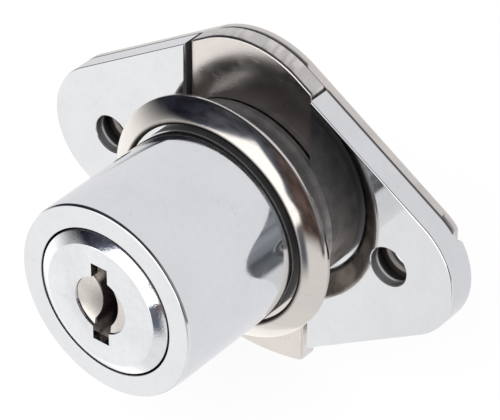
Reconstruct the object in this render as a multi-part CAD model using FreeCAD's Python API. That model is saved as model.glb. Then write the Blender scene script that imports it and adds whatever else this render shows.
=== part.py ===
"""Desk drawer lock: a screw-on cylinder lock whose key lifts a flat bolt behind the flange.

Millimetres. The origin is on the barrel's axis, in the flange face that lies against the
drawer front. -Y points out of the key side, +Z is the way the bolt rises, +X is to the right.
"""
import FreeCAD, Part
import math
import os

os.makedirs("parts", exist_ok=True)
Vector = FreeCAD.Vector
BACK = Vector(0, 1, 0)

# Flange outline and thickness
screw_spacing = 33.6
tip_radius = 7.25
apex_height = 17.25
apex_radius = 10.2
wing_thickness = 2.5
tip_step = 0.65
edge_round = 0.2
screw_hole_radius = 2.0
screw_land = 1.1
screw_relief_radius = 2.7

# Barrel
barrel_radius = 10.0
barrel_length = 20.4
rim_chamfer = 0.2

# Bolt and its channel
notch_half_width = 7.5
bolt_side_gap = 0.45
bolt_recess = 0.65
bolt_thickness = 1.8
bolt_front_gap = 0.15
bolt_tail_half_width = 6.5
bolt_tail_start = 8.0
bolt_drop = 17.85
bolt_bottom_bow = 0.9
bolt_edge_round = 0.4
bolt_corner_round = 0.6

# Back plate and its rivets
plate_thickness = 1.0
plate_end_gap = 0.15
plate_tip_frame = 2.3
plate_corner_radius = 1.8
plate_hole_gap = 0.25
rivet_radius = 1.0
rivet_depth = 1.5
rivet_head_radius = 1.8
rivet_head_height = 0.6
rivet_x = 10.8
rivet_z = 6.5
rivet_gap = 0.02

# Plug, its cap and the dished nose that shows through the cap
plug_radius = 6.0
running_gap = 0.05
plug_back_gap = 0.1
cap_overhang = 1.45
cap_side_gap = 0.15
cap_proud = 0.6
cap_bevel_width = 1.15
cap_bevel_depth = 0.6
cap_thickness = 0.9
cap_skirt_wall = 0.8
cap_depth = 1.9
cap_floor_gap = 0.1
head_gap = 0.05
nose_radius = 2.95
nose_gap = 0.03
nose_recess = 0.25
nose_dish = 0.3

# Key slot
slot_width = 1.9
slot_top = 4.4
slot_bottom = 4.2
slot_bend = 0.85
slot_bend_half = 2.5
slot_bend_centre = 0.4

# Wafers and their springs
wafer_count = 5
wafer_thickness = 1.0
wafer_gap = 0.05
wafer_half_width = 3.3
wafer_inset = 0.1
wafer_travel = 0.8
wafer_first_gap = 1.6
wafer_last_gap = 2.3
window_gap = 0.2
window_step = 0.6
arm_length = 1.3
arm_start = 0.3
arm_height = 1.2
groove_depth = 0.25
spring_radius = 0.6
spring_wire = 0.2
spring_length = 3.3
spring_turns = 6
spring_gap = 0.08

# Plug retainer
retainer_half_width = 1.5
retainer_thickness = 1.4
retainer_height = 4.1
retainer_reach = 0.75
retainer_back = 3.3
retainer_spring_length = 2.1
retainer_spring_turns = 3
retainer_groove_gap = 0.1

# Drive pin
pin_radius = 1.1
pin_orbit = 4.4
pin_depth = 3.2
pin_end_gap = 0.15
pin_slot_gap = 0.2
pin_seat_gap = 0.02

# Trim ring
ring_side_gap = 0.4
ring_back = 3.55
ring_width = 2.4
ring_rim = 0.38
ring_wall = 0.45
ring_rim_bevel = 0.12
ring_crown_radius = 6.7
ring_rim_angle = 42.0
ring_lip_chamfer = 0.15

# Places that follow from the sizes above
tip_x = screw_spacing / 2
front_y = -barrel_length
cap_radius = plug_radius + cap_overhang
cap_face_radius = cap_radius - cap_bevel_width
cap_front_y = front_y - cap_proud
cap_floor_y = front_y + cap_depth
head_front_y = cap_front_y + cap_thickness
nose_front_y = cap_front_y + nose_recess
bolt_front_y = bolt_recess
bolt_back_y = bolt_front_y + bolt_thickness
barrel_back_y = bolt_front_y - bolt_front_gap
plug_back_y = barrel_back_y - plug_back_gap
plate_seat_half = tip_x + tip_radius - plate_tip_frame
plate_half_length = plate_seat_half - plate_end_gap
plate_front_y = wing_thickness
plate_back_y = plate_front_y + plate_thickness
tip_back_y = wing_thickness + tip_step
bolt_half_width = notch_half_width - bolt_side_gap
bore_radius = plug_radius + running_gap
wafer_end_radius = plug_radius - wafer_inset
groove_radius = wafer_end_radius + wafer_travel + groove_depth
retainer_end_radius = plug_radius + retainer_reach
retainer_groove_radius = retainer_end_radius + groove_depth
retainer_back_y = plug_back_y - retainer_back
retainer_front_y = retainer_back_y - retainer_thickness
retainer_foot = retainer_end_radius - retainer_height
first_wafer_y = cap_floor_y + wafer_first_gap
last_wafer_y = retainer_front_y - wafer_last_gap
wafer_pitch = (last_wafer_y - first_wafer_y) / (wafer_count - 1)
slot_end_y = last_wafer_y + wafer_thickness
pocket_depth = spring_radius + spring_gap
spring_x = -(wafer_half_width + wafer_gap + pocket_depth)
pin_offset = pin_orbit * math.sqrt(0.5)
pin_back_y = bolt_back_y - pin_end_gap


def rod(radius, y0, y1, x=0.0, z=0.0):
    """A round bar along Y from y0 to y1."""
    return Part.makeCylinder(radius, y1 - y0, Vector(x, y0, z), BACK)


def block(x0, x1, y0, y1, z0, z1):
    """A box between two corners, given in any order along each axis."""
    low = Vector(min(x0, x1), min(y0, y1), min(z0, z1))
    return Part.makeBox(abs(x1 - x0), abs(y1 - y0), abs(z1 - z0), low)


def point(x, z, y=0.0):
    return Vector(x, y, z)


def turned(edges):
    """Turns a closed profile, given as edges in the XY half plane, about the Y axis."""
    face = Part.Face(Part.Wire(edges))
    return face.revolve(Vector(0, 0, 0), BACK, 360)


def profile_lines(corners):
    """Straight edges through (radius, y) corners, closed."""
    points = [Vector(radius, y, 0) for radius, y in corners]
    return [Part.LineSegment(a, b).toShape() for a, b in zip(points, points[1:] + points[:1])]


def arc(a, b, c):
    return Part.Arc(a, b, c).toShape()


def line(a, b):
    return Part.LineSegment(a, b).toShape()


def lozenge(y):
    """The flange outline: a rhombus with round tips at the screws and round top and bottom corners."""
    apex_z = apex_centre()
    span = math.hypot(tip_x, apex_z)
    along = math.atan2(apex_z, -tip_x)
    turn = math.acos((tip_radius - apex_radius) / span)
    angle = along - turn
    nx = math.cos(angle)
    nz = math.sin(angle)
    tip_touch = (tip_x + tip_radius * nx, tip_radius * nz)
    apex_touch = (apex_radius * nx, apex_z + apex_radius * nz)
    edges = []
    for sx, sz in ((1, 1), (-1, 1), (-1, -1), (1, -1)):
        tip = point(sx * tip_touch[0], sz * tip_touch[1], y)
        apex = point(sx * apex_touch[0], sz * apex_touch[1], y)
        edges.append(line(tip, apex))
    for sx in (1, -1):
        edges.append(arc(point(sx * tip_touch[0], tip_touch[1], y),
                         point(sx * (tip_x + tip_radius), 0, y),
                         point(sx * tip_touch[0], -tip_touch[1], y)))
        edges.append(arc(point(apex_touch[0], sx * apex_touch[1], y),
                         point(0, sx * apex_height, y),
                         point(-apex_touch[0], sx * apex_touch[1], y)))
    return Part.Face(Part.Wire(Part.__sortEdges__(edges)))


def apex_centre():
    """Height of the centre of the round corner at the top of the flange outline."""
    return apex_height - apex_radius


def slab(face, depth):
    return face.extrude(Vector(0, depth, 0))


def rim_edges(solid, y):
    """The edges of a solid that lie in the plane at y."""
    found = []
    for edge in solid.Edges:
        box = edge.BoundBox
        if abs(box.YMin - y) < 1e-4 and abs(box.YMax - y) < 1e-4:
            found.append(edge)
    return found


def key_slot(y0, y1):
    """The key slot's bent section, between two depths."""
    half = slot_width / 2
    low = slot_bend_centre - slot_bend_half
    high = slot_bend_centre + slot_bend_half
    edges = []
    for x in (-half, half):
        edges.append(line(point(x, -slot_bottom, y0), point(x, low, y0)))
        edges.append(arc(point(x, low, y0), point(x + slot_bend, slot_bend_centre, y0), point(x, high, y0)))
        edges.append(line(point(x, high, y0), point(x, slot_top, y0)))
    for z in (-slot_bottom, slot_top):
        edges.append(line(point(-half, z, y0), point(half, z, y0)))
    return slab(Part.Face(Part.Wire(Part.__sortEdges__(edges))), y1 - y0)


def coil(radius, wire, length, turns, start):
    """A round-wire compression spring that stands on start and goes up along Z."""
    climb = length - wire
    helix = Part.makeHelix(climb / turns, climb, radius - wire / 2)
    first = helix.Vertexes[0].Point
    section = Part.Wire(Part.makeCircle(wire / 2, first, Vector(0, 1, 0)))
    shape = Part.Wire(helix.Edges).makePipeShell([section], True, True)
    shape.translate(start + Vector(0, 0, wire / 2))
    return shape


def wafer_centre(index):
    return first_wafer_y + index * wafer_pitch


def wafer_side(index):
    """Wafers are sprung up and down by turns."""
    return 1 if index % 2 == 0 else -1


def slots_beside(z_limit, depth_gap):
    """The straight grooves along the bore that take the wafers, with the plug at either end of its turn."""
    y0 = first_wafer_y - wafer_thickness / 2 - depth_gap
    y1 = last_wafer_y + wafer_thickness / 2 + depth_gap
    wide = wafer_half_width + depth_gap
    upright = block(-wide, wide, y0, y1, -z_limit, z_limit)
    level = block(-z_limit, z_limit, y0, y1, -wide, wide)
    return upright.fuse(level).common(rod(z_limit, y0, y1))


def wings():
    """The two screw wings, with thicker tips that frame the back plate."""
    plate = slab(lozenge(0), wing_thickness)
    plate = plate.makeFillet(edge_round, rim_edges(plate, 0))
    tips = slab(lozenge(wing_thickness), tip_step)
    tips = tips.makeFillet(edge_round, rim_edges(tips, tip_back_y))
    tips = tips.cut(block(-plate_seat_half, plate_seat_half, wing_thickness, tip_back_y,
                          -apex_height, apex_height))
    shape = plate.fuse(tips)
    shape = shape.cut(block(-notch_half_width, notch_half_width, 0, tip_back_y, -apex_height, apex_height))
    for side in (-1, 1):
        x = side * tip_x
        shape = shape.cut(rod(screw_hole_radius, 0, wing_thickness, x))
        shape = shape.cut(rod(screw_relief_radius, screw_land, wing_thickness, x))
        for height in (-rivet_z, rivet_z):
            hole = rod(rivet_radius + rivet_gap, wing_thickness - rivet_depth, wing_thickness,
                       side * rivet_x, height)
            shape = shape.cut(hole)
    return shape


def lock_body():
    """The casting: barrel, bore, wafer grooves and wings in one piece."""
    barrel = turned(profile_lines([
        (0, front_y), (barrel_radius - rim_chamfer, front_y), (barrel_radius, front_y + rim_chamfer),
        (barrel_radius, barrel_back_y), (0, barrel_back_y)]))
    shape = barrel.fuse(wings())
    shape = shape.cut(rod(cap_radius + cap_side_gap, front_y, cap_floor_y))
    shape = shape.cut(rod(bore_radius, front_y, barrel_back_y))
    shape = shape.cut(slots_beside(groove_radius, wafer_gap))
    shape = shape.cut(rod(retainer_groove_radius, retainer_front_y - retainer_groove_gap,
                          retainer_back_y + retainer_groove_gap))
    return shape.removeSplitter()


def back_plate():
    """The steel plate that closes the bolt channel from behind."""
    plate = slab(lozenge(plate_front_y), plate_thickness)
    corner = plate_corner_radius
    frame = block(-plate_half_length, plate_half_length, plate_front_y, plate_back_y,
                  -apex_height, apex_height)
    plate = plate.common(frame)
    upright = [edge for edge in plate.Edges if is_plate_corner(edge)]
    plate = plate.makeFillet(corner, upright)
    plate = plate.makeFillet(edge_round, rim_edges(plate, plate_back_y))
    for side in (-1, 1):
        plate = plate.cut(rod(screw_hole_radius + plate_hole_gap, plate_front_y, plate_back_y, side * tip_x))
        for height in (-rivet_z, rivet_z):
            plate = plate.cut(rod(rivet_radius + rivet_gap, plate_front_y, plate_back_y,
                                  side * rivet_x, height))
    return plate


def is_plate_corner(edge):
    """True for the four edges through the plate where its straight ends begin."""
    box = edge.BoundBox
    through = box.YMax - box.YMin > plate_thickness - 1e-3
    return through and abs(abs(box.XMin) - plate_half_length) < 1e-3


def cover_rivets():
    """Four rivets with low domed heads on the back plate."""
    rivets = []
    for x in (-rivet_x, rivet_x):
        for z in (-rivet_z, rivet_z):
            shank = rod(rivet_radius, wing_thickness - rivet_depth, plate_back_y, x, z)
            half = rivet_head_radius
            rise = rivet_head_height
            dome_radius = (half * half + rise * rise) / (2 * rise)
            dome = Part.makeSphere(dome_radius, Vector(x, plate_back_y + rise - dome_radius, z))
            head = dome.common(rod(half, plate_back_y, plate_back_y + rise, x, z))
            rivets.append(shank.fuse(head).removeSplitter())
    return Part.makeCompound(rivets)


def lock_bolt():
    """The flat bolt. Its top follows the flange outline and its slot takes the drive pin."""
    wide = bolt_half_width
    tail = bolt_tail_half_width
    head = slab(lozenge(bolt_front_y), bolt_thickness)
    head = head.common(block(-wide, wide, bolt_front_y, bolt_back_y, -bolt_tail_start, apex_height))
    bow_radius = (tail * tail + bolt_bottom_bow ** 2) / (2 * bolt_bottom_bow)
    low = rod(bow_radius, bolt_front_y, bolt_back_y, 0, bow_radius - bolt_drop)
    low = low.common(block(-tail, tail, bolt_front_y, bolt_back_y, -bolt_drop, -bolt_tail_start))
    low = low.makeFillet(bolt_corner_round, [edge for edge in low.Edges if is_tail_corner(edge)])
    shape = head.fuse(low).removeSplitter()
    shape = shape.makeFillet(bolt_edge_round, rim_edges(shape, bolt_front_y))
    return shape.cut(pin_slot())


def pin_slot():
    """The level slot that the drive pin sweeps along while it lifts the bolt."""
    reach = pin_radius + pin_slot_gap
    slot = block(-pin_orbit, -pin_offset, bolt_front_y, bolt_back_y,
                 -pin_offset - reach, -pin_offset + reach)
    for x in (-pin_orbit, -pin_offset):
        slot = slot.fuse(rod(reach, bolt_front_y, bolt_back_y, x, -pin_offset))
    return slot


def is_tail_corner(edge):
    """True for the two edges through the bolt at its bottom corners."""
    box = edge.BoundBox
    through = box.YMax - box.YMin > bolt_thickness - 1e-3
    return through and box.ZMax < -bolt_tail_start - 1e-3


def wafer(index):
    """One wafer, flush with the plug as with the key in, with an arm on its left for the spring."""
    y = wafer_centre(index)
    half = wafer_thickness / 2
    strip = block(-wafer_half_width, wafer_half_width, y - half, y + half,
                  -wafer_end_radius, wafer_end_radius)
    strip = strip.common(rod(wafer_end_radius, y - half, y + half))
    way = wafer_side(index)
    arm = block(-wafer_half_width - arm_length, 0, y - half, y + half,
                way * arm_start, way * (arm_start + arm_height))
    left = -slot_width / 2 - window_gap
    right = slot_width / 2 + slot_bend + window_gap
    window = block(left, right, y - half, y + half,
                   way * (slot_top + window_gap), way * (window_step - slot_bottom))
    return strip.fuse(arm).cut(window).removeSplitter()


def wafer_cavity(index):
    """The room in the plug for one wafer, its travel and its spring."""
    y = wafer_centre(index)
    half = wafer_thickness / 2 + wafer_gap
    wide = wafer_half_width + wafer_gap
    room = block(-wide, wide, y - half, y + half, -plug_radius, plug_radius)
    way = wafer_side(index)
    pocket = block(spring_x - pocket_depth, -wafer_half_width, y - pocket_depth, y + pocket_depth,
                   way * (arm_start - spring_length),
                   way * (arm_start + arm_height + wafer_travel + spring_gap))
    return room.fuse(pocket)


def wafer_spring(index):
    """The spring that pushes on the wafer's arm."""
    way = wafer_side(index)
    base = arm_start - spring_length
    shape = coil(spring_radius, spring_wire, spring_length, spring_turns,
                 Vector(spring_x, wafer_centre(index), base))
    if way < 0:
        shape = shape.mirror(Vector(0, 0, 0), Vector(0, 0, 1))
    return shape


def retainer_room():
    """The room in the plug for the retainer and its spring."""
    wide = retainer_half_width + wafer_gap
    return block(-wide, wide, retainer_front_y - wafer_gap, retainer_back_y + wafer_gap,
                 retainer_foot - retainer_spring_length, plug_radius)


def plug_retainer():
    """The sprung plate that stands out of the plug into the ring groove of the bore."""
    strip = block(-retainer_half_width, retainer_half_width, retainer_front_y, retainer_back_y,
                  retainer_foot, retainer_end_radius)
    return strip.common(rod(retainer_end_radius, retainer_front_y, retainer_back_y))


def retainer_spring():
    """The spring between the retainer's foot and the floor of its room."""
    middle = (retainer_front_y + retainer_back_y) / 2
    start = Vector(0, middle, retainer_foot - retainer_spring_length)
    return coil(spring_radius, spring_wire, retainer_spring_length, retainer_spring_turns, start)


def plug_core():
    """The turning plug, with its head under the cap and its dished nose in the cap's hole."""
    body = rod(plug_radius, head_front_y, plug_back_y)
    head_radius = cap_radius - cap_skirt_wall - head_gap
    body = body.fuse(rod(head_radius, head_front_y, cap_floor_y - cap_floor_gap))
    body = body.fuse(rod(nose_radius, nose_front_y, head_front_y))
    dish_radius = (nose_radius ** 2 + nose_dish ** 2) / (2 * nose_dish)
    body = body.cut(Part.makeSphere(dish_radius, Vector(0, nose_front_y + nose_dish - dish_radius, 0)))
    body = body.cut(key_slot(nose_front_y, slot_end_y))
    for index in range(wafer_count):
        body = body.cut(wafer_cavity(index))
    body = body.cut(retainer_room())
    body = body.cut(rod(pin_radius + pin_seat_gap, plug_back_y - pin_depth, plug_back_y,
                        -pin_offset, -pin_offset))
    return body.removeSplitter()


def plug_cap():
    """The bright cap over the plug's head, with a bevelled edge and the key slot."""
    inner = cap_radius - cap_skirt_wall
    cap_back_y = cap_floor_y - cap_floor_gap
    shape = turned(profile_lines([
        (0, cap_front_y), (cap_face_radius, cap_front_y), (cap_radius, cap_front_y + cap_bevel_depth),
        (cap_radius, cap_back_y), (inner, cap_back_y), (inner, head_front_y), (0, head_front_y)]))
    shape = shape.cut(rod(nose_radius + nose_gap, cap_front_y, head_front_y))
    return shape.cut(key_slot(cap_front_y, head_front_y))


def drive_pin():
    """The off-centre pin that lifts the bolt as the plug turns."""
    return rod(pin_radius, plug_back_y - pin_depth, pin_back_y, -pin_offset, -pin_offset)


def trim_ring():
    """The loose ring: a crowned cone of sheet, with a square rim and its lip round the barrel."""
    bore = barrel_radius + ring_side_gap
    outer = bore + ring_width
    edge_y = -ring_back - ring_rim
    rim_radius = outer - ring_rim_bevel
    rim_y = edge_y - ring_rim_bevel
    tilt = math.radians(ring_rim_angle)
    centre_radius = rim_radius - ring_crown_radius * math.sin(tilt)
    centre_y = rim_y + ring_crown_radius * math.cos(tilt)
    under_radius = ring_crown_radius - ring_wall
    under_end = centre_radius + math.sqrt(under_radius ** 2 - (ring_back + centre_y) ** 2)

    def crown(curve, start, end):
        """Start, middle and end of an arc of the crown, between two radii of the ring."""
        points = []
        for radius in (start, (start + end) / 2, end):
            rise = math.sqrt(curve ** 2 - (radius - centre_radius) ** 2)
            points.append(Vector(radius, centre_y - rise, 0))
        return points

    top = crown(ring_crown_radius, rim_radius, bore + ring_lip_chamfer)
    under = crown(under_radius, bore, under_end)
    sides = [top[2], Vector(bore, top[2].y + ring_lip_chamfer, 0), under[0]]
    rim = [under[2], Vector(outer, -ring_back, 0), Vector(outer, edge_y, 0), top[0]]
    edges = [arc(*top)] + [line(a, b) for a, b in zip(sides, sides[1:])]
    edges += [arc(*under)] + [line(a, b) for a, b in zip(rim, rim[1:])]
    return turned(edges)


nodes = {
    "lock_body": lock_body(),
    "back_plate": back_plate(),
    "cover_rivets": cover_rivets(),
    "lock_bolt": lock_bolt(),
    "plug_core": plug_core(),
    "plug_cap": plug_cap(),
    "drive_pin": drive_pin(),
    "plug_retainer": plug_retainer(),
    "retainer_spring": retainer_spring(),
    "trim_ring": trim_ring(),
}
for number in range(wafer_count):
    nodes["wafer_%d" % (number + 1)] = wafer(number)
    nodes["wafer_spring_%d" % (number + 1)] = wafer_spring(number)

for name, shape in nodes.items():
    shape.exportStep("parts/%s.step" % name)
    solids = len(shape.Solids)
    print("%-16s solids %d  valid %s  volume %.2f" % (name, solids, shape.isValid(), shape.Volume))
throw = 2 * pin_offset
print("bolt throw %.4f mm, %.6f mm per radian" % (throw, throw / (math.pi / 2)))
print("wafer pitch %.3f mm, plug retainer travel %.2f mm" % (wafer_pitch, retainer_reach + wafer_inset))
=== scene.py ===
import bpy
import bmesh
import math
from mathutils import Matrix, Vector


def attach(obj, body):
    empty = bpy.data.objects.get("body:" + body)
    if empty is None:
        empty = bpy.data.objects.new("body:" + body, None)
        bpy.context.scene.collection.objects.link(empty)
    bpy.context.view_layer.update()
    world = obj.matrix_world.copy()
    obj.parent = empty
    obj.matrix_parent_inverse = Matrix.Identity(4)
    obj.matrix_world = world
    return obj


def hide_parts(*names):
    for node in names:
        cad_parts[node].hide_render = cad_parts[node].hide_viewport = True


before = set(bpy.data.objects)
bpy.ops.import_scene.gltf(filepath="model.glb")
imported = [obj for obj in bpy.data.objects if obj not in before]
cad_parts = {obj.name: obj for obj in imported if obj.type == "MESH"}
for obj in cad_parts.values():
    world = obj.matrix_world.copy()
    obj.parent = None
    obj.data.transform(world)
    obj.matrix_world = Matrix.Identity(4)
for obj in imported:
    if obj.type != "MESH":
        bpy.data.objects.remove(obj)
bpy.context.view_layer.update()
mm = 0.001
closeness = 0.01  # millimetres; lengths that differ by less are taken as equal
print("frame loaded:", len(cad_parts), "nodes")


# a socket that can be added, subtracted, multiplied and divided as in Python
class Value:
    def __init__(self, tree, socket):
        self.tree = tree
        self.socket = socket

    def math(self, operation, *others):
        made = self.tree.nodes.new("ShaderNodeMath")
        made.operation = operation
        for place, item in enumerate((self,) + others):
            plug(self.tree, item, made.inputs[place])
        return Value(self.tree, made.outputs[0])

    def __add__(self, other):
        return self.math("ADD", other)

    def __mul__(self, other):
        return self.math("MULTIPLY", other)

    def __sub__(self, other):
        return self.math("SUBTRACT", other)

    def __truediv__(self, other):
        return self.math("DIVIDE", other)

    def __rsub__(self, other):
        return (self * -1).math("ADD", other)

    __radd__ = __add__
    __rmul__ = __mul__

    # 0 at low and 1 at high, smooth between; low may be above high
    def step(self, low, high):
        made = self.tree.nodes.new("ShaderNodeMapRange")
        made.interpolation_type = "SMOOTHSTEP"
        for name, item in (("Value", self), ("From Min", low), ("From Max", high)):
            plug(self.tree, item, made.inputs[name])
        return Value(self.tree, made.outputs[0])


def plug(tree, item, target):
    if isinstance(item, Value):
        tree.links.new(item.socket, target)
    else:
        target.default_value = item


class Nodes:
    def __init__(self, tree):
        self.tree = tree
        self.tree.nodes.clear()

    def node(self, kind, settings=None, sockets=None, out=0):
        made = self.tree.nodes.new(kind)
        for name, item in (settings or {}).items():
            setattr(made, name, item)
        for name, item in (sockets or {}).items():
            plug(self.tree, item, made.inputs[name])
        return Value(self.tree, made.outputs[out]) if made.outputs else None

    # the three parts of a vector
    def split(self, vector):
        made = self.tree.nodes.new("ShaderNodeSeparateXYZ")
        plug(self.tree, vector, made.inputs[0])
        return [Value(self.tree, made.outputs[place]) for place in range(3)]

    # a colour between two colours, which have their own sockets in this node
    def mix(self, factor, first, second, blend="MIX"):
        made = self.tree.nodes.new("ShaderNodeMix")
        made.data_type = "RGBA"
        made.blend_type = blend
        for place, item in ((0, factor), (6, first), (7, second)):
            plug(self.tree, item, made.inputs[place])
        return Value(self.tree, made.outputs[2])

    # whether a ray is of a kind
    def ray(self, kind):
        made = self.tree.nodes.new("ShaderNodeLightPath")
        return Value(self.tree, made.outputs[kind])


def color(r, g, b):
    return (r, g, b, 1)


# 1 between two angles or depths, with soft ends
def between(value, low, high, soft):
    return value.step(low - soft, low + soft) * value.step(high + soft, high - soft)


def larger(first, second):
    return first.math("MAXIMUM", second)


# the camera, at the place from which the photo was taken, in degrees and millimetres
camera = {
    "azimuth": 38.818,
    "elevation": 36.495,
    "roll": 0.104,
    "distance": 300.515,
    "lens": 228.86,
    "sensor": 36,
    "clip": (0.01, 10),
    "aside": 0.382,
    "above": -1.054,
}


def placeCamera():
    angles = (math.radians(camera[key]) for key in ("azimuth", "elevation", "roll"))
    azimuth, elevation, roll = angles
    level = math.cos(elevation)
    back = Vector((math.sin(azimuth) * level, -math.cos(azimuth) * level, math.sin(elevation)))
    right = Vector((math.cos(azimuth), math.sin(azimuth), 0))
    up = back.cross(right)
    aside = right * math.cos(roll) + up * math.sin(roll)
    above = up * math.cos(roll) - right * math.sin(roll)
    target = aside * camera["aside"] + above * camera["above"]
    data = bpy.data.cameras.new("camera")
    data.lens = camera["lens"]
    data.sensor_width = camera["sensor"]
    data.clip_start, data.clip_end = camera["clip"]
    made = bpy.data.objects.new("camera", data)
    bpy.context.scene.collection.objects.link(made)
    turn = Matrix((aside, above, back)).transposed().to_4x4()
    made.matrix_world = Matrix.Translation((target + back * camera["distance"]) * mm) @ turn
    bpy.context.scene.camera = made


placeCamera()
bpy.context.scene.view_settings.view_transform = "Standard"
print("camera placed")


# the colours that the metal sees, the floor and the lamp
studio = {
    "table": color(1.02, 1.02, 1.02),
    "tableLeft": 1.24,
    "tableFront": 0.10,
    "tableShade": color(0.07, 0.09, 0.13),
    "shadeShare": 0.93,
    "wall": color(0.85, 0.85, 0.875),
    "window": color(1.6, 1.6, 1.6),
    "haze": color(0.33, 0.38, 0.50),
    "hazeShare": 0.7,
    "roomLeft": color(0.020, 0.022, 0.034),
    "roomMiddle": color(0.070, 0.076, 0.096),
    "roomRight": color(0.110, 0.078, 0.070),
    "roomTop": color(0.045, 0.047, 0.055),
    "roomFarRight": color(0.25, 0.265, 0.285),
    "stripeShare": 0.55,
    "clutterSize": 7.0,
    "clutterDark": 0.45,
    "clutterLight": 1.1,
    "light": 0.9,
    "floor": color(0.9, 0.9, 0.9),
    "floorHeight": -18.0,
    "floorWhite": 0.93,
    "lampPlace": (0.02, -0.45, 0.35),
    "lampSize": (0.4, 0.5),
    "lampPower": 3.0,
}

# where these are, in degrees around from the front towards the right, or in degrees up;
# two numbers are where a thing starts and is full, three are both ends and their softness
places = {
    "roomMiddle": (-50, -28),
    "roomRight": (2, 22),
    "roomFarRight": (41, 47),
    "roomTop": (30, 60),
    "clutter": (0.25, 0.75),  # of its noise
    "stripe": (-27, -22.5, 1.5),
    "leftGap": (-54, -25, 6),
    "rightGap": (7, 50, 8),
    "farRight": (38, 44),
    "edge": -6,
    "edgeRise": {"left": 3.5, "right": -13, "far": -10},
    "edgeFade": (12, -17),
    "edgeSharp": {"left": 0.45, "right": 0.6, "far": 0.28},
    "sharpRight": (8, 20),
    "tableLeft": (-50, -80),
    "tableFront": (-41, -34),
    "shade": ((-2, 7), (22, 16), (-46, -31)),
    "wall": (0.5, 0.58),  # of the direction's y
    "leftSlope": 0.867,
    "topSlope": 1.14,
    "haze": ((42, 24), (34, 16), (-46, -30), (19, 6), (-34, -20)),
    "ledge": ((-1, -7), (-22, -10)),
    "ledgeWidth": 8,
    "cornerHeight": -13,
    "cornerSlope": 0.6,
    "window": ((34, 28), (24.5, 18.5), (12.5, 8.5), (-33, -27), (-42, -34)),
}


# a dark room, lighter towards the right, with a dark stripe there
def roomColors(n, way, around, height):
    room = n.mix(around.step(*places["roomMiddle"]), studio["roomLeft"], studio["roomMiddle"])
    room = n.mix(around.step(*places["roomRight"]), room, studio["roomRight"])
    room = n.mix(around.step(*places["roomFarRight"]), room, studio["roomFarRight"])
    room = n.mix(height.step(*places["roomTop"]), room, studio["roomTop"])
    clutter = n.node("ShaderNodeTexNoise", {}, {
        "Vector": way, "Scale": studio["clutterSize"], "Detail": 3.0, "Distortion": 0.6})
    clutter = clutter.step(*places["clutter"]) * studio["clutterLight"] + studio["clutterDark"]
    room = n.mix(1.0, room, clutter, "MULTIPLY")
    stripe = around.step(*places["farRight"]) * between(height, *places["stripe"])
    return n.mix(stripe * studio["stripeShare"], room, studio["roomTop"])


# a white table, whose edge falls and gets sharper towards the right
def tableColors(n, around, height):
    rise, sharpness = places["edgeRise"], places["edgeSharp"]
    leftGap = between(around, *places["leftGap"])
    rightGap = between(around, *places["rightGap"])
    farRight = around.step(*places["farRight"])
    edge = leftGap * rise["left"] + places["edge"] + rightGap * rise["right"]
    edge = edge + farRight * rise["far"]
    sharp = 1 - around.step(*places["sharpRight"]) * sharpness["right"]
    sharp = sharp - leftGap * sharpness["left"] - farRight * sharpness["far"]
    onTable = ((height - edge) / sharp).step(*places["edgeFade"])
    side = around.step(*places["tableLeft"]) * (studio["tableLeft"] - 1) + 1
    side = side - around.step(*places["tableFront"]) * studio["tableFront"]
    table = n.mix(1.0, studio["table"], side, "MULTIPLY")
    start, end, low = places["shade"]
    shade = around.step(*start) * around.step(*end) * height.step(*low)
    return onTable, n.mix(shade * studio["shadeShare"], table, studio["tableShade"])


# a bright window that leans left, with a sloping top, a ledge at the right and haze around it
def addWindow(n, seen, onTable, around, height):
    left = height - around * places["leftSlope"]
    top = height + around * places["topSlope"]
    leftEdge, topEdge, start, end, low = places["haze"]
    haze = left.step(*leftEdge) * around.step(*start) * around.step(*end)
    haze = haze * top.step(*topEdge) * height.step(*low)
    seen = n.mix(haze * studio["hazeShare"] * (1 - onTable), seen, studio["haze"])
    ledgeTop, ledgeLow = places["ledge"]
    ledge = height.step(*ledgeTop) * height.step(*ledgeLow)
    corner = (height - places["cornerHeight"]).math("MINIMUM", 0)
    right = around - ledge * places["ledgeWidth"] - corner * places["cornerSlope"]
    leftEdge, topEdge, rightEdge, low, start = places["window"]
    window = left.step(*leftEdge) * top.step(*topEdge) * right.step(*rightEdge)
    window = window * height.step(*low) * around.step(*start)
    return n.mix(window, seen, studio["window"])


def buildWorld():
    world = bpy.data.worlds.new("studio")
    bpy.context.scene.world = world
    world.use_nodes = True
    n = Nodes(world.node_tree)
    way = n.node("ShaderNodeTexCoord")
    x, y, z = n.split(way)
    around = x.math("ARCTAN2", y * -1) * math.degrees(1)
    height = z.math("ARCSINE") * math.degrees(1)
    room = roomColors(n, way, around, height)
    onTable, table = tableColors(n, around, height)
    seen = n.mix(onTable, room, table)
    seen = addWindow(n, seen, onTable, around, height)
    seen = n.mix(y.step(*places["wall"]), seen, studio["wall"])  # the pale wall behind

    metal = n.node("ShaderNodeBackground", {}, {"Color": seen})
    plain = n.node("ShaderNodeBackground", {}, {
        "Color": color(1, 1, 1), "Strength": studio["light"]})
    white = n.node("ShaderNodeBackground", {}, {"Color": color(1, 1, 1)})
    lit = n.node("ShaderNodeMixShader", {}, {0: n.ray("Is Glossy Ray"), 1: plain, 2: metal})
    lit = n.node("ShaderNodeMixShader", {}, {0: n.ray("Is Camera Ray"), 1: lit, 2: white})
    n.node("ShaderNodeOutputWorld", {}, {"Surface": lit})


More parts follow.
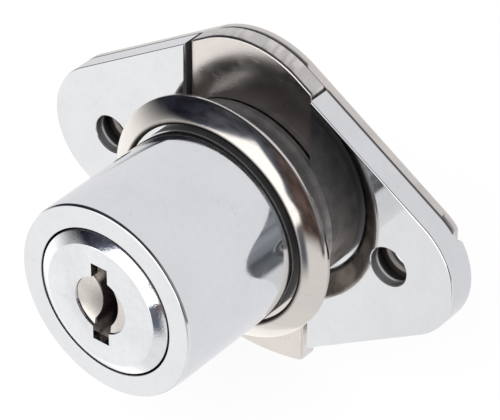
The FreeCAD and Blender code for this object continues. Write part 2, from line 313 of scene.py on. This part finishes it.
def addFloor():
    bm = bmesh.new()
    bmesh.ops.create_grid(bm, x_segments=1, y_segments=1, size=1.0)
    bmesh.ops.translate(bm, verts=bm.verts, vec=(0, 0, studio["floorHeight"] * mm))
    floor = meshObject("floor", bm)
    material = bpy.data.materials.new("pale floor")
    material.use_nodes = True
    n = Nodes(material.node_tree)
    paper = n.node("ShaderNodeBsdfDiffuse", {}, {"Color": studio["floor"]})
    glow = n.node("ShaderNodeEmission", {}, {"Color": color(1, 1, 1), "Strength": 1.0})
    white = n.ray("Is Camera Ray") * studio["floorWhite"]
    look = n.node("ShaderNodeMixShader", {}, {0: white, 1: paper, 2: glow})
    n.node("ShaderNodeOutputMaterial", {}, {"Surface": look})
    floor.data.materials.append(material)
    floor.visible_glossy = False


def addLamp():
    data = bpy.data.lights.new("window", "AREA")
    data.shape = "RECTANGLE"
    data.size, data.size_y = studio["lampSize"]
    data.energy = studio["lampPower"]
    lamp = bpy.data.objects.new("window", data)
    bpy.context.scene.collection.objects.link(lamp)
    lamp.location = studio["lampPlace"]
    lamp.rotation_mode = "QUATERNION"
    lamp.rotation_quaternion = lamp.location.to_track_quat("Z", "Y")
    lamp.visible_glossy = False


# a new object at the origin, with its place in its mesh
def meshObject(name, bm):
    mesh = bpy.data.meshes.new(name)
    bm.to_mesh(mesh)
    bm.free()
    made = bpy.data.objects.new(name, mesh)
    bpy.context.scene.collection.objects.link(made)
    return made


buildWorld()
addFloor()
addLamp()
print("studio ready")


# a closed outline of (radius, y, rounding) corners, spun about an axis that runs along y
def turned(corners, steps=192, aside=0.0):
    bm = bmesh.new()
    points = [bm.verts.new((radius * mm, y * mm, 0)) for radius, y, rounding in corners]
    bm.faces.new(points)
    for point, (radius, y, rounding) in zip(points, corners):
        if rounding:
            bmesh.ops.bevel(bm, geom=[point], offset=rounding * mm, offset_type="OFFSET",
                            segments=6, profile=0.5, affect="VERTICES", material=-1)
    onAxis = [edge for edge in bm.edges if all(vert.co.x < 1e-9 for vert in edge.verts)]
    bmesh.ops.delete(bm, geom=bm.faces[:], context="FACES_ONLY")
    bmesh.ops.delete(bm, geom=onAxis, context="EDGES_FACES")
    bmesh.ops.spin(bm, geom=bm.verts[:] + bm.edges[:], cent=(0, 0, 0), axis=(0, 1, 0),
                   dvec=(0, 0, 0), angle=math.tau, steps=steps, use_merge=True,
                   use_duplicate=False)
    bmesh.ops.remove_doubles(bm, verts=bm.verts, dist=0.0002 * mm)
    bmesh.ops.recalc_face_normals(bm, faces=bm.faces)
    bmesh.ops.translate(bm, verts=bm.verts, vec=(aside * mm, 0, 0))
    return bm


def everything(bm):
    return bm.verts[:] + bm.edges[:] + bm.faces[:]


def onlyVerts(items):
    return [item for item in items if isinstance(item, bmesh.types.BMVert)]


# the hull of (x, z, radius) circles at some depths, each with radii smaller by a step
def hullSlab(circles, *layers, steps=160):
    bm = bmesh.new()
    upright = Matrix.Rotation(math.radians(90), 4, "X")
    for depth, step in layers:
        for x, z, radius in circles:
            place = Matrix.Translation((x * mm, depth * mm, z * mm)) @ upright
            bmesh.ops.create_circle(bm, segments=steps, radius=(radius - step) * mm,
                                    cap_ends=False, matrix=place)
    bmesh.ops.delete(bm, geom=bm.edges[:], context="EDGES_FACES")
    hull = bmesh.ops.convex_hull(bm, input=bm.verts[:], use_existing_faces=False)
    inside = set(onlyVerts(hull["geom_interior"] + hull["geom_unused"]))
    bmesh.ops.delete(bm, geom=list(inside), context="VERTS")
    tidied(bm)
    return bm


# flat faces in one piece, and outward normals
def tidied(bm):
    bmesh.ops.dissolve_limit(bm, angle_limit=math.radians(0.3), verts=bm.verts, edges=bm.edges,
                             use_dissolve_boundaries=False)
    bmesh.ops.recalc_face_normals(bm, faces=bm.faces)


# cuts away what lies beyond a plane, and closes the cut
def trimmed(bm, place, way):
    made = bmesh.ops.bisect_plane(bm, geom=everything(bm), dist=0.0001 * mm,
                                  plane_co=[part * mm for part in place], plane_no=way,
                                  clear_outer=True)
    rim = [item for item in made["geom_cut"] if isinstance(item, bmesh.types.BMEdge)]
    bmesh.ops.contextual_create(bm, geom=rim)


def edgesWhere(bm, test):
    return [edge for edge in bm.edges if all(test(vert.co / mm) for vert in edge.verts)]


# rounds the sharp ones of some edges
def rounded(bm, edges, size, segments=4):
    sharp = [edge for edge in edges
             if len(edge.link_faces) == 2 and edge.calc_face_angle(0) > math.radians(30)]
    bmesh.ops.bevel(bm, geom=sharp, offset=size * mm, offset_type="OFFSET", segments=segments,
                    profile=0.5, affect="EDGES", clamp_overlap=True, material=-1)


# only the faces at one depth
def keepSheet(bm, depth):
    rest = [face for face in bm.faces
            if not all(near(vert.co.y / mm, depth) for vert in face.verts)]
    bmesh.ops.delete(bm, geom=rest, context="FACES")


# rounds the corners of a flat sheet
def roundCorners(bm, test, size):
    corners = [vert for vert in bm.verts if test(vert.co / mm)]
    bmesh.ops.bevel(bm, geom=corners, offset=size * mm, offset_type="OFFSET", segments=8,
                    profile=0.5, affect="VERTICES", material=-1)
    tidied(bm)


# a sheet inside the hull of circles and inside (x, z, way) lines, with round corners
def roundSheet(circles, depth, corner, lines):
    bm = hullSlab(circles, (depth, corner), (depth + 1, corner))
    for x, z, way in lines:
        trimmed(bm, (x - way[0] * corner, 0, z - way[2] * corner), way)
    keepSheet(bm, depth)
    centres = [(vert.co.x / mm, vert.co.z / mm, corner) for vert in bm.verts]
    bm.free()
    bm = hullSlab(centres, (depth, 0), (depth + 1, 0), steps=64)
    keepSheet(bm, depth)
    return bm


# a sheet made into a slab
def thicken(bm, thickness):
    grown = bmesh.ops.extrude_face_region(bm, geom=bm.faces[:])["geom"]
    bmesh.ops.translate(bm, verts=onlyVerts(grown), vec=(0, thickness * mm, 0))
    bmesh.ops.recalc_face_normals(bm, faces=bm.faces)


# cuts other objects out of one, or joins them to it
def carved(made, *cutters, operation="DIFFERENCE"):
    for cutter in cutters:
        cut = made.modifiers.new("cut", "BOOLEAN")
        cut.operation = operation
        cut.solver = "EXACT"
        cut.object = cutter
    seen = made.evaluated_get(bpy.context.evaluated_depsgraph_get())
    mesh = bpy.data.meshes.new_from_object(seen)
    made.modifiers.clear()
    made.data = mesh
    for cutter in cutters:
        bpy.data.objects.remove(cutter)


# smooth shading that stays flat on flat faces
def shaded(made, angle=38):
    made.data.shade_smooth()
    made.data.set_sharp_from_angle(angle=math.radians(angle))
    even = made.modifiers.new("even shading", "WEIGHTED_NORMAL")
    even.keep_sharp = True
    even.weight = 100


def near(a, b):
    return abs(a - b) < closeness


# the casting's barrel, with a bore, a seat for the cap and rooms for the wafers
barrel = {
    "radius": 10.0,
    "front": -20.4,
    "back": 0.5,
    "rimRound": 0.26,
    "foot": (10.32, -0.32),
    "footRound": 0.25,
    "capSeat": 7.65,
    "capFloor": -18.5,
    "seatRounds": (0.1, 0.08),
    "bore": 6.05,
    "boreRound": 0.1,
    "groove": (7.0, -4.4, -2.8),
    "waferRoom": (3.35, 6.95, -17.45, -6.05),
}


def makeBarrel():
    b = barrel
    deep, grooveFront, grooveBack = b["groove"]
    footRadius, footFront = b["foot"]
    floorRound, mouthRound = b["seatRounds"]
    made = meshObject("barrel", turned([
        (b["bore"], b["capFloor"], 0), (b["capSeat"], b["capFloor"], floorRound),
        (b["capSeat"], b["front"], mouthRound), (b["radius"], b["front"], b["rimRound"]),
        (b["radius"], footFront, b["footRound"]), (footRadius, 0, 0), (footRadius, b["back"], 0),
        (b["bore"], b["back"], b["boreRound"]), (b["bore"], grooveBack, 0),
        (deep, grooveBack, 0), (deep, grooveFront, 0), (b["bore"], grooveFront, 0)]))
    wide, high, front, back = b["waferRoom"]
    cutters = []
    for x, z in ((wide, high), (high, wide)):
        bm = bmesh.new()
        bmesh.ops.create_cube(bm, size=2.0)
        bmesh.ops.scale(bm, verts=bm.verts, vec=(x * mm, (back - front) / 2 * mm, z * mm))
        bmesh.ops.translate(bm, verts=bm.verts, vec=(0, (front + back) / 2 * mm, 0))
        cutters.append(meshObject("wafer room", bm))
    carved(made, *cutters)
    shaded(made)
    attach(made, "lock")
    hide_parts("lock_body")
    return made


# the casting's two screw wings, each with a step at its tip and a hole with a relief behind
flange = {
    "circles": [(16.8, 0, 7.25), (-16.8, 0, 7.25), (0, 7.05, 10.2), (0, -7.05, 10.2)],
    "thickness": 2.5,
    "notch": 7.5,
    "tipStart": 22.1,
    "tipThickness": 3.15,
    "tipInset": 0.004,
    "tipCorner": 0.45,
    "tipRound": 0.25,
    "frontSlope": (0.19, 0.07),
    "edgeRound": 0.06,
    "screwX": 16.8,
    "hole": 2.0,
    "holeEdge": 0.1,
    "land": 1.1,
    "relief": 2.7,
}


def makeWings():
    f = flange
    slope, depth = f["frontSlope"]
    bm = hullSlab(f["circles"], (0, slope), (depth, 0), (f["thickness"], 0))
    trimmed(bm, (f["notch"], 0, 0), (-1, 0, 0))
    tidied(bm)
    rounded(bm, edgesWhere(bm, lambda at: at.y < depth + closeness), f["edgeRound"])
    made = meshObject("wings", bm)
    middle = f["thickness"] / 2
    inner = [(x, z, radius - f["tipInset"]) for x, z, radius in f["circles"]]
    bm = roundSheet(inner, middle, f["tipCorner"], [(f["tipStart"], 0, (-1, 0, 0))])
    thicken(bm, f["tipThickness"] - middle)
    rounded(bm, edgesWhere(bm, lambda at: near(at.y, f["tipThickness"])), f["tipRound"])
    carved(made, meshObject("wing tip", bm), operation="UNION")
    e, beyond = f["holeEdge"], f["thickness"] + 1
    carved(made, meshObject("screw hole", turned([
        (0, -3 * e, 0), (f["hole"] + 4 * e, -3 * e, 0), (f["hole"], e, 0),
        (f["hole"], f["land"], 0), (f["relief"], f["land"], 0), (f["relief"], beyond, 0),
        (0, beyond, 0)], 96, f["screwX"])))
    bm = bmesh.new()
    bm.from_mesh(made.data)
    other = bmesh.ops.duplicate(bm, geom=everything(bm))["geom"]
    bmesh.ops.scale(bm, verts=onlyVerts(other), vec=(-1, 1, 1))
    bmesh.ops.recalc_face_normals(bm, faces=bm.faces)
    bm.to_mesh(made.data)
    bm.free()
    shaded(made)
    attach(made, "lock")
    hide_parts("lock_body")
    return made


# the flat bolt behind the barrel, with a bowed tail and a slot for the drive pin
bolt = {
    "front": 0.65,
    "back": 2.47,
    "half": 7.2,
    "topCorner": 0.45,
    "shoulder": -8.0,
    "tailHalf": 6.5,
    "tailEnd": -16.95,
    "bow": 0.9,
    "bowCuts": 15,
    "cornerRound": 0.6,
    "frontRound": 0.26,
    "backRound": 0.02,
    "pinSlot": [(-4.4, -3.1113, 1.3), (-3.1113, -3.1113, 1.3)],
}


def makeBolt():
    b = bolt
    bm = roundSheet(flange["circles"], b["front"], b["topCorner"], [
        (b["half"], 0, (1, 0, 0)), (-b["half"], 0, (-1, 0, 0)),
        (0, b["shoulder"], (0, 0, -1))])
    for way in (1, -1):
        bmesh.ops.bisect_plane(bm, geom=everything(bm), dist=0.0001 * mm,
                               plane_co=(way * b["tailHalf"] * mm, 0, 0), plane_no=(way, 0, 0))
    reach = b["tailHalf"] + closeness
    low = edgesWhere(bm, lambda at: near(at.z, b["shoulder"]) and abs(at.x) < reach)
    grown = bmesh.ops.extrude_edge_only(bm, edges=low)["geom"]
    tail = b["tailEnd"] - b["shoulder"]
    bmesh.ops.translate(bm, verts=onlyVerts(grown), vec=(0, 0, tail * mm))
    bottom = edgesWhere(bm, lambda at: near(at.z, b["tailEnd"]))
    bmesh.ops.subdivide_edges(bm, edges=bottom, cuts=b["bowCuts"])
    for vert in bm.verts:
        if near(vert.co.z / mm, b["tailEnd"]):
            vert.co.z -= b["bow"] * mm * (1 - (vert.co.x / mm / b["tailHalf"]) ** 2)
    roundCorners(bm, lambda at: near(at.z, b["tailEnd"]) and near(abs(at.x), b["tailHalf"]),
                 b["cornerRound"])
    thicken(bm, b["back"] - b["front"])
    rounded(bm, edgesWhere(bm, lambda at: near(at.y, b["front"])), b["frontRound"], 5)
    rounded(bm, edgesWhere(bm, lambda at: near(at.y, b["back"])), b["backRound"], 2)
    made = meshObject("bolt", bm)
    slot = hullSlab(b["pinSlot"], (b["front"] - 1, 0), (b["back"] + 1, 0))
    carved(made, meshObject("pin slot", slot))
    shaded(made)
    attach(made, "bolt")
    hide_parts("lock_bolt")
    return made


# the plate that closes the bolt's channel from behind
plate = {
    "front": 2.5,
    "back": 3.5,
    "half": 22.05,
    "corner": 0.9,
    "backRound": 0.22,
    "frontRound": 0.03,
    "hole": 2.12,
    "flare": (0.12, 0.06),
}


def makePlate():
    p = plate
    bm = roundSheet(flange["circles"], p["front"], p["corner"], [
        (p["half"], 0, (1, 0, 0)), (-p["half"], 0, (-1, 0, 0))])
    thicken(bm, p["back"] - p["front"])
    rounded(bm, edgesWhere(bm, lambda at: near(at.y, p["back"])), p["backRound"], 4)
    rounded(bm, edgesWhere(bm, lambda at: near(at.y, p["front"])), p["frontRound"], 2)
    made = meshObject("backPlate", bm)
    wider, depth = p["flare"]
    before = p["front"] - 1
    hole = [(0, before, 0), (p["hole"], before, 0), (p["hole"], p["back"] - depth, 0),
            (p["hole"] + wider, p["back"] + depth, 0), (0, p["back"] + depth, 0)]
    carved(made, *[meshObject("plate hole", turned(hole, 96, way * flange["screwX"]))
                   for way in (1, -1)])
    shaded(made)
    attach(made, "lock")
    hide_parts("back_plate")
    return made


# the loose ring on the barrel: a crowned cone of sheet with a rolled lip
ring = {
    "bore": 10.4,
    "outer": 12.8,
    "back": -3.55,
    "rim": -3.93,
    "rimRound": 0.07,
    "rimBevel": 0.12,
    "backRound": 0.05,
    "crownCentre": (8.197, 0.929),
    "crownRadius": 6.7,
    "wall": 0.45,
    "lipStart": 10.95,
    "lipRound": 0.42,
}


# outline points on an arc, from one radius of the ring to another
def crownPoints(curve, start, end, count=14):
    across, depth = ring["crownCentre"]
    radii = [start + (end - start) * place / count for place in range(count + 1)]
    return [(radius, depth - math.sqrt(curve ** 2 - (radius - across) ** 2), 0)
            for radius in radii]


def makeRing():
    r = ring
    across, depth = r["crownCentre"]
    under = r["crownRadius"] - r["wall"]
    underEnd = across + math.sqrt(under ** 2 - (r["back"] - depth) ** 2)
    lip = crownPoints(r["crownRadius"], r["bore"], r["bore"], 1)[0][1]
    corners = crownPoints(under, r["bore"], underEnd)
    corners += [(r["outer"], r["back"], r["backRound"]), (r["outer"], r["rim"], r["rimRound"])]
    corners += crownPoints(r["crownRadius"], r["outer"] - r["rimBevel"], r["lipStart"])
    corners += [(r["bore"], lip, r["lipRound"])]
    made = meshObject("trimRing", turned(corners, 256))
    shaded(made, 60)
    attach(made, "ring")
    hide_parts("trim_ring")
    return made


# the cap over the plug, with a hole for the nose and the bent key slot
cap = {
    "outline": [
        (2.98, -21.0, 0.04), (6.3, -21.0, 0.06), (7.45, -20.4, 0.07), (7.45, -18.6, 0.1),
        (6.65, -18.6, 0.05), (6.65, -20.1, 0), (2.98, -20.1, 0)],
    "slotHalf": 0.95,
    "slotTop": 4.4,
    "slotBottom": -4.2,
    "slotCuts": 86,
    "cutFront": -22,
    "cutDepth": 3,
    "bend": 0.85,
    "bendHalf": 2.5,
    "bendCentre": 0.4,
}


def makeCap():
    c = cap
    made = meshObject("plugCap", turned(c["outline"]))
    bm = bmesh.new()
    bmesh.ops.create_grid(bm, x_segments=1, y_segments=c["slotCuts"], size=1.0)
    bmesh.ops.rotate(bm, verts=bm.verts, matrix=Matrix.Rotation(math.radians(90), 3, "X"))
    tall = (c["slotTop"] - c["slotBottom"]) / 2
    bmesh.ops.scale(bm, verts=bm.verts, vec=(c["slotHalf"] * mm, 1, tall * mm))
    bmesh.ops.translate(bm, verts=bm.verts,
                        vec=(0, c["cutFront"] * mm, (c["slotTop"] - tall) * mm))
    arc = (c["bendHalf"] ** 2 + c["bend"] ** 2) / (2 * c["bend"])
    for vert in bm.verts:
        away = abs(vert.co.z / mm - c["bendCentre"])
        if away < c["bendHalf"]:
            vert.co.x += (math.sqrt(arc ** 2 - away ** 2) - arc + c["bend"]) * mm
    thicken(bm, c["cutDepth"])
    carved(made, meshObject("key slot", bm))
    shaded(made)
    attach(made, "plug")
    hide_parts("plug_cap")
    return made


pieces = {"barrel": makeBarrel(), "wings": makeWings(), "bolt": makeBolt(),
          "plate": makePlate(), "ring": makeRing(), "cap": makeCap()}
for name, made in pieces.items():
    print("made", name, len(made.data.polygons), "faces")


# how every finish makes its marks: steps of a noise, shares, and sizes in millimetres
marks = {
    "cloud": (0.3, 0.7),
    "cloudShare": 0.7,
    "mottle": (0.35, 0.75),
    "mottleSize": 0.7,
    "mottleShare": 0.5,
    "smudge": (0.42, 0.72),
    "scratchFade": 0.05,
    "patch": (0.54, 0.72),
    "patchSize": 7,  # in specks
    "speck": (0.18, 0.08),
    "stain": (0.3, 0.7),
    "stainSize": 2.2,
    "stainShare": 0.4,
    "stainRough": 0.2,
    "fineStainSize": 0.35,
    "fineStainShare": 0.6,
}


# a metal finish: clouds, smudges, waves, scratches and specks over a base;
# the last argument gives how bare and how light a place is, and with it paints shade and light
# into the colour in hollows, gaps and undersides
def metal(name, look, bareAndShade=None):
    material = bpy.data.materials.new(name)
    material.use_nodes = True
    n = Nodes(material.node_tree)
    place = n.node("ShaderNodeTexCoord", out="Object")
    place = n.node("ShaderNodeMapping", {}, {
        "Vector": place, "Scale": (1 / mm, 1 / mm, 1 / mm)})
    x, y, z = n.split(place)

    def noise(size, detail=2.0, stretch=(1, 1, 1), turn=(0, 0, 0), distortion=0.0):
        way = place
        if stretch != (1, 1, 1):
            way = n.node("ShaderNodeMapping", {}, {
                "Vector": place, "Rotation": turn, "Scale": stretch})
        return n.node("ShaderNodeTexNoise", {}, {
            "Vector": way, "Scale": 1 / size, "Detail": detail, "Distortion": distortion})

    # clouds in the colour, large and small
    clouds = noise(look["cloudSize"], detail=3.0).step(*marks["cloud"]) * marks["cloudShare"]
    mottle = noise(marks["mottleSize"]).step(*marks["mottle"])
    clouds = clouds + mottle * marks["mottleShare"]
    base = n.mix(clouds, look["base"], look["cloud"])
    smudge = noise(look["smudgeSize"], detail=3.0, distortion=0.8).step(*marks["smudge"])
    rough = smudge * look["smudge"] + look["rough"]

    # fine scratches are the peaks of a stretched noise
    grit = noise(look["scratchSize"], detail=3.0, stretch=look["scratchStretch"],
                 turn=look["scratchTurn"])
    scratch = grit.step(look["scratchFrom"], look["scratchFrom"] + marks["scratchFade"])
    rough = rough + scratch * look["scratch"]

    # dark specks in patches
    cells = n.node("ShaderNodeTexVoronoi", {}, {
        "Vector": place, "Scale": 1 / look["speckSize"], "Randomness": 1.0})
    patches = noise(look["speckSize"] * marks["patchSize"]).step(*marks["patch"])
    speck = cells.step(*marks["speck"]) * patches * look["speck"]
    base = n.mix(speck, base, look["speckColor"])
    rough = rough + speck * look["speckRough"]

    height = noise(look["waveSize"], detail=1.0) * look["wave"]
    height = height + noise(look["grainSize"]) * look["grain"]
    height = height - scratch * look["scratchDepth"] - speck * look["speckDepth"]
    shine = 1.0
    if bareAndShade:
        bareAndShaded, tone = bareAndShade(x, y, z)
        stain = noise(marks["stainSize"], detail=1.0).step(*marks["stain"])
        stain = stain * marks["stainShare"]
        stain = stain + noise(marks["fineStainSize"], detail=4.0) * marks["fineStainShare"]
        dull = n.mix(stain * tone, look["dullAndShadeDark"], look["dullAndLitLight"])
        base = n.mix(bareAndShaded, base, dull)
        bareRough = stain * marks["stainRough"] + look["bareRough"]
        rough = rough * (1 - bareAndShaded) + bareAndShaded * bareRough
        height = height + bareAndShaded * stain * look["bareGrain"]
        shine = 1 - bareAndShaded * look["bareMatte"]
    bump = n.node("ShaderNodeBump", {}, {
        "Height": height, "Distance": 0.001 * mm, "Strength": 1.0})
    surface = n.node("ShaderNodeBsdfPrincipled", {}, {
        "Base Color": base, "Metallic": shine, "Roughness": rough, "Normal": bump})
    n.node("ShaderNodeOutputMaterial", {}, {"Surface": surface})
    return material


# sizes in millimetres, heights and depths in thousandths of one
chromeLook = {
    "base": color(0.80, 0.805, 0.815),
    "cloud": color(0.765, 0.77, 0.785),
    "cloudSize": 5.0,
    "rough": 0.05,
    "smudge": 0.04,
    "smudgeSize": 2.6,
    "scratch": 0.10,
    "scratchSize": 1.0,
    "scratchFrom": 0.68,
    "scratchStretch": (0.5, 7.0, 7.0),
    "scratchTurn": (0.3, 0.5, 0.7),
    "scratchDepth": 0.6,
    "speck": 0.5,
    "speckSize": 0.36,
    "speckColor": color(0.22, 0.22, 0.25),
    "speckRough": 0.25,
    "speckDepth": 2.0,
    "wave": 3.0,
    "waveSize": 3.5,
    "grain": 0.35,
    "grainSize": 0.30,
    # the dull colours, which also stand for painted shade and painted light
    "dullAndShadeDark": color(0.024, 0.023, 0.026),
    "dullAndLitLight": color(0.42, 0.40, 0.39),
    "bareRough": 0.38,
    "bareGrain": 8.0,
    "bareMatte": 0.35,
}
capLook = chromeLook | {
    "base": color(0.83, 0.84, 0.85),
    "cloud": color(0.75, 0.76, 0.785),
    "wave": 1.5,
    "grain": 5.0,
    "grainSize": 0.22,
    "speck": 0.4,
}
barrelLook = chromeLook | {
    # painted light on the barrel's root behind the ring
    "dullAndLitLight": color(0.66, 0.59, 0.55),
    "bareRough": 0.45,
}
nickelLook = chromeLook | {
    "base": color(0.70, 0.655, 0.61),
    "cloud": color(0.66, 0.625, 0.595),
    "rough": 0.08,
    "smudge": 0.06,
    "wave": 5.0,
    "waveSize": 3.0,
    "speckColor": color(0.16, 0.12, 0.09),
    # the dull colours, which also stand for painted shade and painted light on the plate
    "dullAndShadeDark": color(0.018, 0.014, 0.013),
    "dullAndLitLight": color(0.46, 0.40, 0.37),
    "bareRough": 0.36,
    "bareMatte": 0.5,
}
ringLook = nickelLook | {
    # painted shade and painted light on the ring's back and lip
    "dullAndShadeDark": color(0.012, 0.010, 0.008),
    "dullAndLitLight": color(0.90, 0.79, 0.71),
    "bareMatte": 0.15,
}
boltLook = nickelLook | {
    "base": color(0.76, 0.71, 0.68),
    "cloud": color(0.72, 0.67, 0.635),
    "rough": 0.20,
    "smudge": 0.07,
    "wave": 2.0,
    "grain": 3.0,
    "grainSize": 0.2,
    "dullAndShadeDark": color(0.63, 0.585, 0.56),
    "dullAndLitLight": color(0.97, 0.935, 0.91),
    "bareRough": 0.3,
    "bareGrain": 3.0,
    "bareMatte": 0.0,
}
plugLook = nickelLook | {
    "base": color(0.77, 0.715, 0.66),
    # painted shade and painted light in the key slot
    "dullAndShadeDark": color(0.020, 0.012, 0.016),
    "dullAndLitLight": color(1.0, 0.88, 0.78),
    "bareRough": 0.5,
    "bareMatte": 1.0,
}
plateLook = nickelLook | {
    "rough": 0.16,
    "smudge": 0.10,
    "smudgeSize": 5.0,
    "scratchStretch": (0.12, 5.0, 8.0),
    "scratchTurn": (0, 0.12, 0),
    "scratchFrom": 0.62,
    "wave": 8.0,
    "waveSize": 6.0,
}
brassLook = nickelLook | {
    "base": color(0.80, 0.60, 0.28),
    "cloud": color(0.66, 0.45, 0.20),
    "cloudSize": 1.2,
    "rough": 0.24,
    "scratchStretch": (6.0, 6.0, 0.2),
    "scratchTurn": (0, 0, 0),
    "scratchFrom": 0.58,
    "speckColor": color(0.25, 0.13, 0.05),
}
steelLook = nickelLook | {
    "base": color(0.56, 0.56, 0.57),
    "cloud": color(0.47, 0.47, 0.48),
    "cloudSize": 0.9,
    "rough": 0.22,
    "smudgeSize": 1.2,
    "speckSize": 0.25,
    "speckColor": color(0.18, 0.13, 0.10),
    "waveSize": 1.0,
    "wave": 1.5,
}
wireLook = steelLook | {
    "rough": 0.18,
    "speck": 0.2,
}


# the distance from the plug's axis, or from axes at both sides of it
def fromAxis(x, z, aside=0.0):
    across = x.math("ABSOLUTE") - aside
    return (across * across + z * z).math("SQRT")


# in all the marks below, two numbers are where a mark starts and is full and three are both
# ends and their softness, but sideBare and light give the least and what comes on top

# duller, darker sides, more at the left, painted shade on the seam to the plate, and painted
# shade on the land and the relief in a screw hole
castingMarks = {
    "relief": (2.9, 2.78),
    "reliefStart": (1.08, 1.16),
    "land": (2.45, 2.25),
    "landStart": (0.02, 0.1),
    "landBare": 0.84,
    "landGlint": (0.8, 1.0, 0.08),
    "glintShare": 0.5,
    "seam": (2.26, 2.4),
    "seamEnd": (22.25, 22.1),
    "seamBare": 0.92,
    "side": (0.1, 0.25),
    "sideLeft": (5, -5),
    "sideBare": (0.07, 0.1),
    "tone": 0.15,
    "reliefTone": -0.05,
}


def castingShadeAndWear(x, y, z):
    m = castingMarks
    far = fromAxis(x, z, flange["screwX"])
    relief = far.step(*m["relief"]) * y.step(*m["reliefStart"])
    glint = between(y, *m["landGlint"]) * m["glintShare"]
    land = far.step(*m["land"]) * y.step(*m["landStart"]) * (m["landBare"] - glint)
    seam = y.step(*m["seam"]) * x.math("ABSOLUTE").step(*m["seamEnd"]) * m["seamBare"]
    least, more = m["sideBare"]
    side = y.step(*m["side"]) * (x.step(*m["sideLeft"]) * more + least)
    bareAndShaded = larger(larger(relief, land), larger(seam, side))
    return bareAndShaded, relief * m["reliefTone"] + m["tone"]


# painted shade inside the casting, behind the cap, and on the barrel's dull root behind the
# ring, black under the ring's lip and painted lighter further back and towards the bottom
barrelMarks = {
    "inside": (7.77, 7.67),
    "insideStart": (-20.42, -20.3),
    "outside": (9.5, 9.8),
    "rootStart": (-5.75, -5.35),
    "lower": (0, -4),
    "lowerReach": 0.7,
    "deep": (-4.7, -4.0),
    "bareAndShade": 0.97,
    "deepShine": 0.12,
    "lightLow": (7, -5),
    "light": (0.35, 0.8),
    "tone": 0.04,
}


def barrelShade(x, y, z):
    m = barrelMarks
    far = fromAxis(x, z)
    inside = far.step(*m["inside"]) * y.step(*m["insideStart"])
    reach = y + z.step(*m["lower"]) * m["lowerReach"]
    root = far.step(*m["outside"]) * reach.step(*m["rootStart"])
    deep = y.step(*m["deep"])
    least, more = m["light"]
    light = z.step(*m["lightLow"]) * more + least
    bareAndShaded = larger(inside, root * (m["bareAndShade"] - deep * m["deepShine"]))
    return bareAndShaded, root * deep * light + m["tone"]


# painted shade on the side of the ring that faces back, painted lighter towards the bottom, and
# darker painted shade on its lip
ringMarks = {
    "under": (6.42, 6.34),
    "underFront": (-3.5, -3.58),
    "lip": (11.0, 10.62),
    "lipEnd": (10.42, 10.47),
    "lipDark": 0.95,
    "lightLow": (8, -6),
    "light": (0.12, 0.85),
}


def ringShade(x, y, z):
    m = ringMarks
    across, depth = ring["crownCentre"]
    far = fromAxis(x, z)
    aside = far - across
    behind = y - depth
    curve = (aside * aside + behind * behind).math("SQRT")
    under = curve.step(*m["under"]) * y.step(*m["underFront"])
    lip = far.step(*m["lip"]) * far.step(*m["lipEnd"])
    least, more = m["light"]
    return larger(under, lip), (1 - lip * m["lipDark"]) * (z.step(*m["lightLow"]) * more + least)


# the rolled edges of the flat bolt, dull all round
boltEdge = (0.7, 1.0)


def boltWear(x, y, z):
    return y.step(*boltEdge), 1.0


# painted shade on the cap's side, in the gap to the barrel
capGap = {
    "depth": (-20.36, -20.2),
    "radius": (7.2, 7.4),
    "tone": 0.05,
}


def capGapShade(x, y, z):
    side = y.step(*capGap["depth"]) * fromAxis(x, z).step(*capGap["radius"])
    return side, capGap["tone"]


# painted shade on the plate's front edge, and its screw holes dull, lighter at the front with
# painted shade at the back
plateMarks = {
    "hole": (2.5, 2.4),
    "seam": (2.64, 2.56),
    "seamStart": (7.3, 7.7),
    # painted shade at the back of the screw holes
    "holeBackShade": (2.95, 3.15),
    "bareAndShade": 0.92,
    "tone": 1.2,
}


def plateShade(x, y, z):
    m = plateMarks
    hole = fromAxis(x, z, flange["screwX"]).step(*m["hole"])
    seam = y.step(*m["seam"]) * x.math("ABSOLUTE").step(*m["seamStart"])
    holeBackShade = y.step(*m["holeBackShade"]) * hole
    return larger(seam, hole) * m["bareAndShade"], (1 - seam) * (1 - holeBackShade) * m["tone"]


# the walls of the key slot with painted light, brighter at the top than at the bottom, and
# painted shade that grows with depth, and a lighter, duller lobe of the nose beside it
slotMarks = {
    "width": (2.3, 2.2),
    "height": (4.6, 4.5),
    "start": (-20.75, -20.3),
    "top": (2.0, 2.6),
    "bottom": (-2.4, -3.2),
    "bottomLight": 0.3,
    "fade": (-18.0, -19.2),
    "lobe": (3.1, 2.9),
    "lobeStart": (1.0, 1.8),
    "lobeBare": 0.3,
}


def slotShade(x, y, z):
    m = slotMarks
    slot = x.math("ABSOLUTE").step(*m["width"]) * z.math("ABSOLUTE").step(*m["height"])
    ends = z.step(*m["top"]) + z.step(*m["bottom"]) * m["bottomLight"]
    lobe = fromAxis(x, z).step(*m["lobe"]) * x.step(*m["lobeStart"]) * m["lobeBare"]
    return larger(slot * y.step(*m["start"]), lobe), y.step(*m["fade"]) * ends + lobe


def dress(made, material):
    made.data.materials.clear()
    made.data.materials.append(material)


finishes = {
    "barrel": metal("chromed barrel", barrelLook, barrelShade),
    "wings": metal("chromed wings", chromeLook, castingShadeAndWear),
    "cap": metal("chromed cap", capLook, capGapShade),
    "ring": metal("nickel ring", ringLook, ringShade),
    "bolt": metal("nickel bolt", boltLook, boltWear),
    "plate": metal("nickel plate", plateLook, plateShade),
    "plug": metal("nickel plug", plugLook, slotShade),
    "brass": metal("stamped brass", brassLook),
    "steel": metal("plain steel", steelLook),
    "wire": metal("spring wire", wireLook),
}

# what the solids wear that have a finish of their own; springs are wire and wafers brass
nodeFinishes = {
    "lock_body": "wings", "plug_cap": "cap", "back_plate": "plate", "lock_bolt": "bolt",
    "trim_ring": "ring", "plug_core": "plug", "plug_retainer": "brass",
    "cover_rivets": "steel", "drive_pin": "steel",
}
for name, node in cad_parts.items():
    kind = nodeFinishes.get(name, "wire" if "spring" in name else "brass")
    dress(node, finishes[kind])
for name, made in pieces.items():
    dress(made, finishes[name])
print("finishes on")
